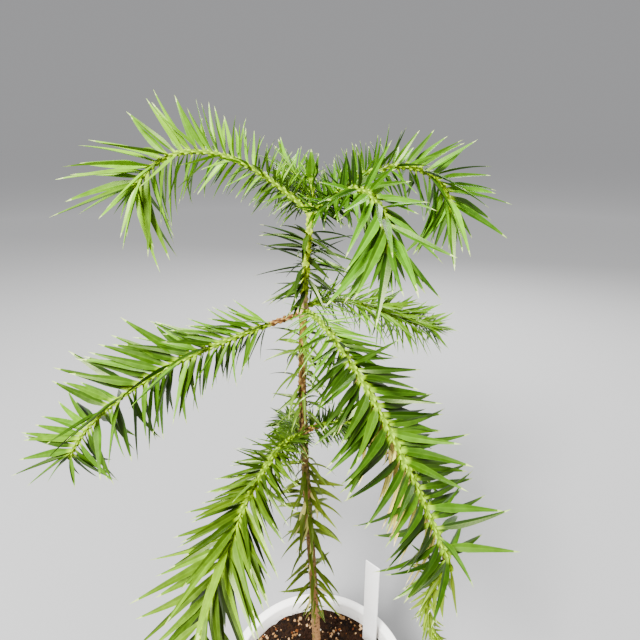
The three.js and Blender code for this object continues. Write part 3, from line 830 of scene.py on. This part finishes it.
def stemFinish():
    graph = Finish("stemBark")
    height = graph.part(graph.place, "Z")
    sideways = graph.part(graph.place, "X")
    wander = graph.clouds(90, 4, 0.6)
    level = graph.ease(height + wander * 0.024 - 0.012, soilLine, stemTop, smooth=False)
    crest = graph.read("crest")
    bands = graph.bands(level, stemBands)
    crust = graph.ease(graph.clouds(520, 3, 0.65), 0.5, 0.68)
    upper = graph.ease(level, 0.8, 0.86)
    # Pale golden flecks on the raised leaf bases: partly the bark's own flecks, partly painted highlight on
    # the crests
    fleckAndHighlight = graph.blend(upper, 0xC8A858, 0x95AA00)
    fleckedAndHighlit = graph.blend(crest * (0.3 + crust * 0.5 + upper * 0.4), bands, fleckAndHighlight)
    cracks = graph.ease(graph.clouds(380, 4, 0.7), 0.36, 0.5)
    cracked = graph.blend((0.75 - cracks * 0.75) * (1 - upper * 0.8), fleckedAndHighlit, 0x1D1409)
    greenSide = graph.ease(sideways * -1, 0.001, 0.003) * (1 - graph.ease(level, 0.2, 0.3))
    mossy = greenSide * graph.ease(graph.clouds(110, 3), 0.42, 0.6)
    coloured = graph.blend(mossy * 0.7, cracked, 0x61741D)
    return graph.end(coloured, 0.62 + crust * 0.2, graph.clouds(900, 5, 0.65), 0.6, 0.0012, 0.1)


def shootFinish():
    graph = Finish("shootBark")
    mottle = graph.clouds(420, 3)
    crest = graph.read("crest")
    woody = graph.read("woody")
    young = graph.blend(mottle, 0x3F5900, 0x556F00)
    # Here and in the brown bark, raised leaf bases are lighter than the hollows: partly own colour, partly
    # painted highlight and shade
    bright = graph.blend(graph.ease(crest, 0.1, 0.8), young, 0x83A400)
    brown = graph.blend(crest, 0x301607, 0x96703A)
    aged = graph.blend(woody, bright, brown)
    return graph.end(aged, 0.5 + mottle * 0.15, graph.clouds(1500, 3), 0.3, 0.0006, 0.05)


def paint(piece, name, numbers):
    field = piece.data.attributes.new(name, "FLOAT", "POINT")
    field.data.foreach_set("value", np.array(numbers, np.float32))


def makeStem():
    heights = np.arange(-2, plant["stemHeight"] + 0.01, bark["stemStep"])
    stations = [stemStation(h) for h in heights]
    radii = np.array([stemRadiusAt(max(h, 0)) for h in heights])
    for whorl, extra in bark["knobs"].items():
        radii += extra * np.exp(-((heights - whorl) / bark["knobReach"]) ** 2)
    relief = baseRelief(heights, bark["stemSides"], plant["stemHeight"])
    least, low, high = bark["worn"]
    worn = [lerp(least, 1, smoothstep(h, low, high)) + smoothstep(h, *bark["bold"]) for h in heights]
    relief *= np.array(worn)[:, None]
    corners, faces = limbMesh("stem", stations, radii, relief)
    piece = meshPiece("stemBark", corners, faces, stemFinish())
    paint(piece, "crest", [0, *relief.ravel(), 0])
    stand(piece, "bark", "trunk")


def makeShootBark():
    corners, faces, crests, woods = [], [], [], []
    sides = bark["shootSides"]
    for shoot in leafyShoots:
        distances = np.arange(0, shoot["length"] + 0.01, bark["shootStep"])
        stations = [stationAt(shoot, d) for d in distances]
        radii = [lerp(*plant["shootRadius"], d / shoot["length"]) * bark["slimness"] for d in distances]
        relief = baseRelief(distances, sides, shoot["length"])
        more, moreFaces = limbMesh("shoot", stations, radii, relief, len(corners))
        brown = shoot["woody"]
        browned = [smoothstep(brown - d, 0, 0.2 * brown + 0.1) for d in distances]
        crests += [0, *relief.ravel(), 0]
        woods += [browned[0], *np.repeat(browned, sides), 0]
        faces += moreFaces
        corners += more
    piece = meshPiece("shootBark", corners, faces, shootFinish())
    paint(piece, "crest", crests)
    paint(piece, "woody", woods)
    stand(piece, "green_bark", *["bough_" + shoot["name"] for shoot in shoots])


makeStem()
makeShootBark()
print("bark made")

# Pot: one turned wall with rounded edges
pot = {
    "height": 130, "rimRadius": 75, "lipWidth": 8, "rimBand": 22, "bandStep": 3.5,
    "bandEdge": (1.6, 0.4), "footRadius": 56, "wall": 6, "floor": 6, "round": 1.5, "lipFall": 0.4,
    # A brown band on the inner wall just above the soil, of soil marks and painted shade
    "soilBand": (-8, -5, 8),  # from the soil line: where the brown marks begin, are full and end
    "segments": 160, "sharpness": 40,
    "holes": {"count": 4, "radius": 5, "circle": 32, "sides": 12, "overshoot": 2},
}
floorRadius = pot["footRadius"] - pot["wall"]
innerRim = pot["rimRadius"] - pot["lipWidth"]


def arc(centre, radius, start, end, steps=5):
    angles = [radians(lerp(start, end, i / steps)) for i in range(steps + 1)]
    return [(centre[0] + radius * cos(a), centre[1] + radius * sin(a)) for a in angles]


def potOutline():
    rim = pot["rimRadius"]
    top = pot["height"]
    bevel = pot["round"]
    bandFoot = top - pot["rimBand"]
    lower, upper = pot["bandEdge"]
    return [
        (0, 0),
        *arc((pot["footRadius"] - bevel, bevel), bevel, -90, -12),
        (rim - pot["bandStep"], bandFoot),
        (rim - lower, bandFoot + lower),
        (rim - upper, bandFoot + pot["bandStep"]),
        *arc((rim - bevel, top - bevel), bevel, 0, 90),
        *arc((innerRim + bevel, top - pot["lipFall"] - bevel), bevel, 90, 184),
        (floorRadius, pot["floor"]),
        (0, pot["floor"]),
    ]


def potFinish():
    graph = Finish("potGlaze")
    height = graph.part(graph.place, "Z")
    broad = graph.clouds(14, 3)
    glaze = graph.blend(broad, 0xF7F5F1, 0xECE8E1)
    level = graph.vector("LENGTH", graph.vector("MULTIPLY", graph.place, (1.0, 1.0, 0.0)))
    inside = 1 - graph.ease(level, (innerRim - 1.5) * mm, (innerRim + 2) * mm)
    splash = graph.ease(graph.clouds(220, 4, 0.7), 0.55, 0.7)
    foot, full, end = [soilLine + height * mm for height in pot["soilBand"]]
    nearSoil = graph.ease(height, foot, full) * (1 - graph.ease(height, soilLine, end))
    # Inner wall near the soil: soil splashes and, in the even part of the band, painted shade
    soilMarkedAndShaded = graph.blend(inside * nearSoil * (0.25 + splash * 0.6), glaze, 0x4D3522)
    return graph.end(soilMarkedAndShaded, 0.3 + broad * 0.1, graph.clouds(60, 3), 0.08, 0.002,
                     fixed={"Coat Weight": 0.25, "Coat Roughness": 0.2})


def makePot():
    foot, *wall, tip = potOutline()
    rings = [circle(radius, height, pot["segments"]) for radius, height in wall]
    corners, faces = closedMesh(rings, (0, *foot), (0, *tip))
    piece = meshPiece("potGlaze", corners, faces, potFinish())
    drill = drainDrill()
    cut = piece.modifiers.new("drain", "BOOLEAN")
    cut.operation = "DIFFERENCE"
    cut.solver = "EXACT"
    cut.object = drill
    settle(piece, cut)
    bpy.data.objects.remove(drill)
    piece.data.set_sharp_from_angle(angle=radians(pot["sharpness"]))
    stand(piece, "pot", "pot")


def drainDrill():
    holes = pot["holes"]
    low, high = (0, 0, -holes["overshoot"]), (0, 0, pot["floor"] + holes["overshoot"])
    corners, faces = [], []
    for number in range(holes["count"]):
        turn = 2 * pi * (number + 0.5) / holes["count"]
        middle = np.array((holes["circle"] * cos(turn), holes["circle"] * sin(turn), 0))
        ring = middle + circle(holes["radius"], 0, holes["sides"])
        more, moreFaces = closedMesh([ring + low, ring + high], middle + low, middle + high, len(corners))
        corners += more
        faces += moreFaces
    return meshPiece("drill", corners, faces, bpy.data.materials.new("drill"))


makePot()
print("pot made")

# Soil with dark crumbs and pale, tan and rusty grains of pumice on it
soil = {"rings": 60, "sides": 160, "lump": 1.3, "fall": 0.4, "bottom": 6.3, "patches": 0.07, "seed": 7,
        "bareEdge": 1.2, "wallRoom": 0.2, "stemRoom": 0.6}
wallShare = (plant["soilTop"] - pot["floor"]) / (pot["height"] - pot["round"] - pot["lipFall"] - pot["floor"])
soilRadius = lerp(floorRadius, innerRim, wallShare)


def soilHeight(x, y):
    lump = noise.noise(Vector((x, y, 3)) * 0.12) + 0.5 * noise.noise(Vector((x, y, 9)) * 0.4)
    crumb = 0.35 * noise.noise(Vector((x, y, 5)) * 1.1)
    return plant["soilTop"] + soil["lump"] * (lump + crumb) - soil["fall"]


def soilFinish():
    graph = Finish("soil")
    mottle = graph.clouds(320, 5, 0.7)
    fine = graph.clouds(1500, 3, 0.6)
    dark = graph.blend(graph.ease(mottle, 0.35, 0.65), 0x0E0602, 0x2C1A0A)
    speck = graph.ease(fine, 0.66, 0.76)
    speckled = graph.blend(speck * 0.6, dark, 0x7C5530)
    return graph.end(speckled, 0.92, mottle, 0.9, 0.002, 0.1)


def makeSoil():
    sides = soil["sides"]
    rings = []
    for ring in range(1, soil["rings"] + 1):
        flat = circle(soilRadius * ring / soil["rings"], 0, sides)
        rings.append([(x, y, soilHeight(x, y)) for x, y, z in flat])
    rings.append(circle(floorRadius, soil["bottom"], sides))
    corners, faces = closedMesh(rings, (0, 0, soilHeight(0, 0)), (0, 0, soil["bottom"]))
    piece = meshPiece("soilBed", corners, [face[::-1] for face in faces], soilFinish())
    stand(piece, "soil", "soil")


def grainTree():
    graph = Growth("grains", [("Fineness", "Int", 1), ("Roughness", "Float", 0.35),
                              ("Material", "Material", None)])
    named = graph.named
    ball = graph.add("GeometryNodeMeshIcoSphere", {}, {"Radius": 1.0, "Subdivisions": named["Fineness"]})
    tilt, scale = graph.field("tilt", "FLOAT_VECTOR"), graph.field("scale", "FLOAT_VECTOR")
    joined = {"Points": named["Geometry"], "Instance": ball, "Rotation": tilt, "Scale": scale}
    stones = graph.add("GeometryNodeInstanceOnPoints", {}, joined)
    stones = graph.shape("RealizeInstances", stones, {})
    position = graph.add("GeometryNodeInputPosition")
    normal = graph.add("GeometryNodeInputNormal")
    uneven = (graph.clouds(420, 2, place=position) - 0.5) * named["Roughness"] * graph.field("size")
    offset = graph.vector("SCALE", normal, scale=uneven * 2)
    stones = graph.shape("SetPosition", stones, {"Offset": offset})
    return graph.close(graph.shape("SetMaterial", stones, {"Material": named["Material"]}))


grains = {
    "crumbs": {"count": 4400, "size": (0.4, 1.6), "sunk": 0.3, "patchy": 0,
               "low": 0x050201, "high": 0x231106},
    "tanGrains": {"count": 520, "size": (0.5, 1.9), "sunk": 0.1, "patchy": 0.8,
                  "low": 0x8A6238, "high": 0xD0A878},
    "rustyGrains": {"count": 160, "size": (0.5, 1.6), "sunk": 0.1, "patchy": 0.5,
                    "low": 0x5B2C0E, "high": 0x804C23},
    "whiteGrains": {"count": 120, "size": (0.4, 1.5), "sunk": 0, "patchy": 0.5,
                    "low": 0xA8967C, "high": 0xE2D8C6},
}


def grainFinish(name, sort):
    graph = Finish(name)
    shade = graph.clouds(95, 1)
    pits = graph.clouds(1300, 4, 0.7)
    colour = graph.blend(graph.ease(shade, 0.35, 0.65), sort["low"], sort["high"])
    pitted = graph.blend(0.35 - pits * 0.35, colour, (0.02, 0.012, 0.008))
    return graph.end(pitted, 0.9, pits, 0.7, 0.001, 0.1)


def makeGrains(name, sort, tree, dice):
    rows = []
    while len(rows) < sort["count"]:
        radius = (soilRadius - soil["bareEdge"]) * sqrt(dice.random())
        angle = dice.random() * 2 * pi
        x, y = radius * cos(angle), radius * sin(angle)
        size = lerp(*sort["size"], dice.random() ** 2)
        stemReach = plant["stemRadius"][0] + size + soil["stemRoom"]
        atStem = hypot(x - stemPoint(0)[0], y) < stemReach
        if atStem or radius + size > soilRadius - soil["wallRoom"]:
            continue
        patch = 0.5 + noise.noise(Vector((x, y, 20)) * soil["patches"])
        if dice.random() > lerp(1, patch, sort["patchy"]):
            continue
        rows.append({
            "foot": np.array((x, y, soilHeight(x, y) + size * (0.5 - sort["sunk"]))) * mm,
            "tilt": dice.random(3) * 2 * pi,
            "scale": size * mm * (0.75 + 0.5 * dice.random(3)),
            "size": size * mm,
        })
    points = pointMesh(name + "Points", rows)
    piece = growMesh(name, points, tree, {"Material": grainFinish(name, sort)})
    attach(piece, "root")


makeSoil()
stoneTree = grainTree()
dice = np.random.default_rng(soil["seed"])
for name, sort in grains.items():
    makeGrains(name, sort, stoneTree, dice)
print("soil made")


# Plant label: the part's own plate, blank, in matt white plastic
def labelFinish():
    graph = Finish("labelPlastic")
    broad = graph.clouds(120, 2)
    height = graph.part(graph.place, "Z")
    clean = graph.blend(broad, 0xF6F5F2, 0xECEAE6)
    # Patchy brown over the lowest 13 mm above the soil: soil marks and painted shade inside the pot
    soiledAndShaded = (1 - graph.ease(height, soilLine, soilLine + 13 * mm)) * graph.clouds(400, 3)
    worn = graph.blend(soiledAndShaded, clean, 0x584029)
    return graph.end(worn, 0.48, graph.clouds(900, 3), 0.08, 0.0005)


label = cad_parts["plant_label"]
label.data.materials.clear()
label.data.materials.append(labelFinish())


# Floor and light
def addFloor():
    size = 40 / mm
    corners = [(-size, -size, 0), (size, -size, 0), (size, size, 0), (-size, size, 0)]
    graph = Finish("floorPaper")
    # Floor colour grey in the middle and white far off: painted shade against the lamps' pool of light, so
    # the floor meets the sky evenly
    away = graph.ease(graph.vector("LENGTH", graph.place), 0.3, 4.2, smooth=False)
    paper = graph.blend(away, (0.3, 0.3, 0.3), (1.0, 1.0, 1.0))
    material = graph.end(paper, 1.0, specular=0)
    floor = meshPiece("floor", corners, [(0, 1, 2, 3)], material)


lights = [
    {"name": "key", "place": (-0.5, -1.0, 1.45), "size": 0.4, "power": 170},
    {"name": "fill", "place": (1.2, -0.8, 0.9), "size": 1.2, "power": 8},
    {"name": "back", "place": (0.3, 1.2, 1.3), "size": 1.0, "power": 40},
]


def addLights():
    middle = Vector((0, 0, 0.36))
    for light in lights:
        data = bpy.data.lights.new(light["name"], "AREA")
        data.size = light["size"]
        data.energy = light["power"]
        lamp = placed(light["name"], data)
        lamp.location = light["place"]
        lamp.rotation_euler = (middle - Vector(light["place"])).to_track_quat("-Z", "Y").to_euler()
    world = bpy.data.worlds.new("studio")
    world.use_nodes = True
    sky = world.node_tree.nodes["Background"]
    sky.inputs["Color"].default_value = (0.8, 0.8, 0.82, 1)
    sky.inputs["Strength"].default_value = 0.45
    bpy.context.scene.world = world


addFloor()
addLights()
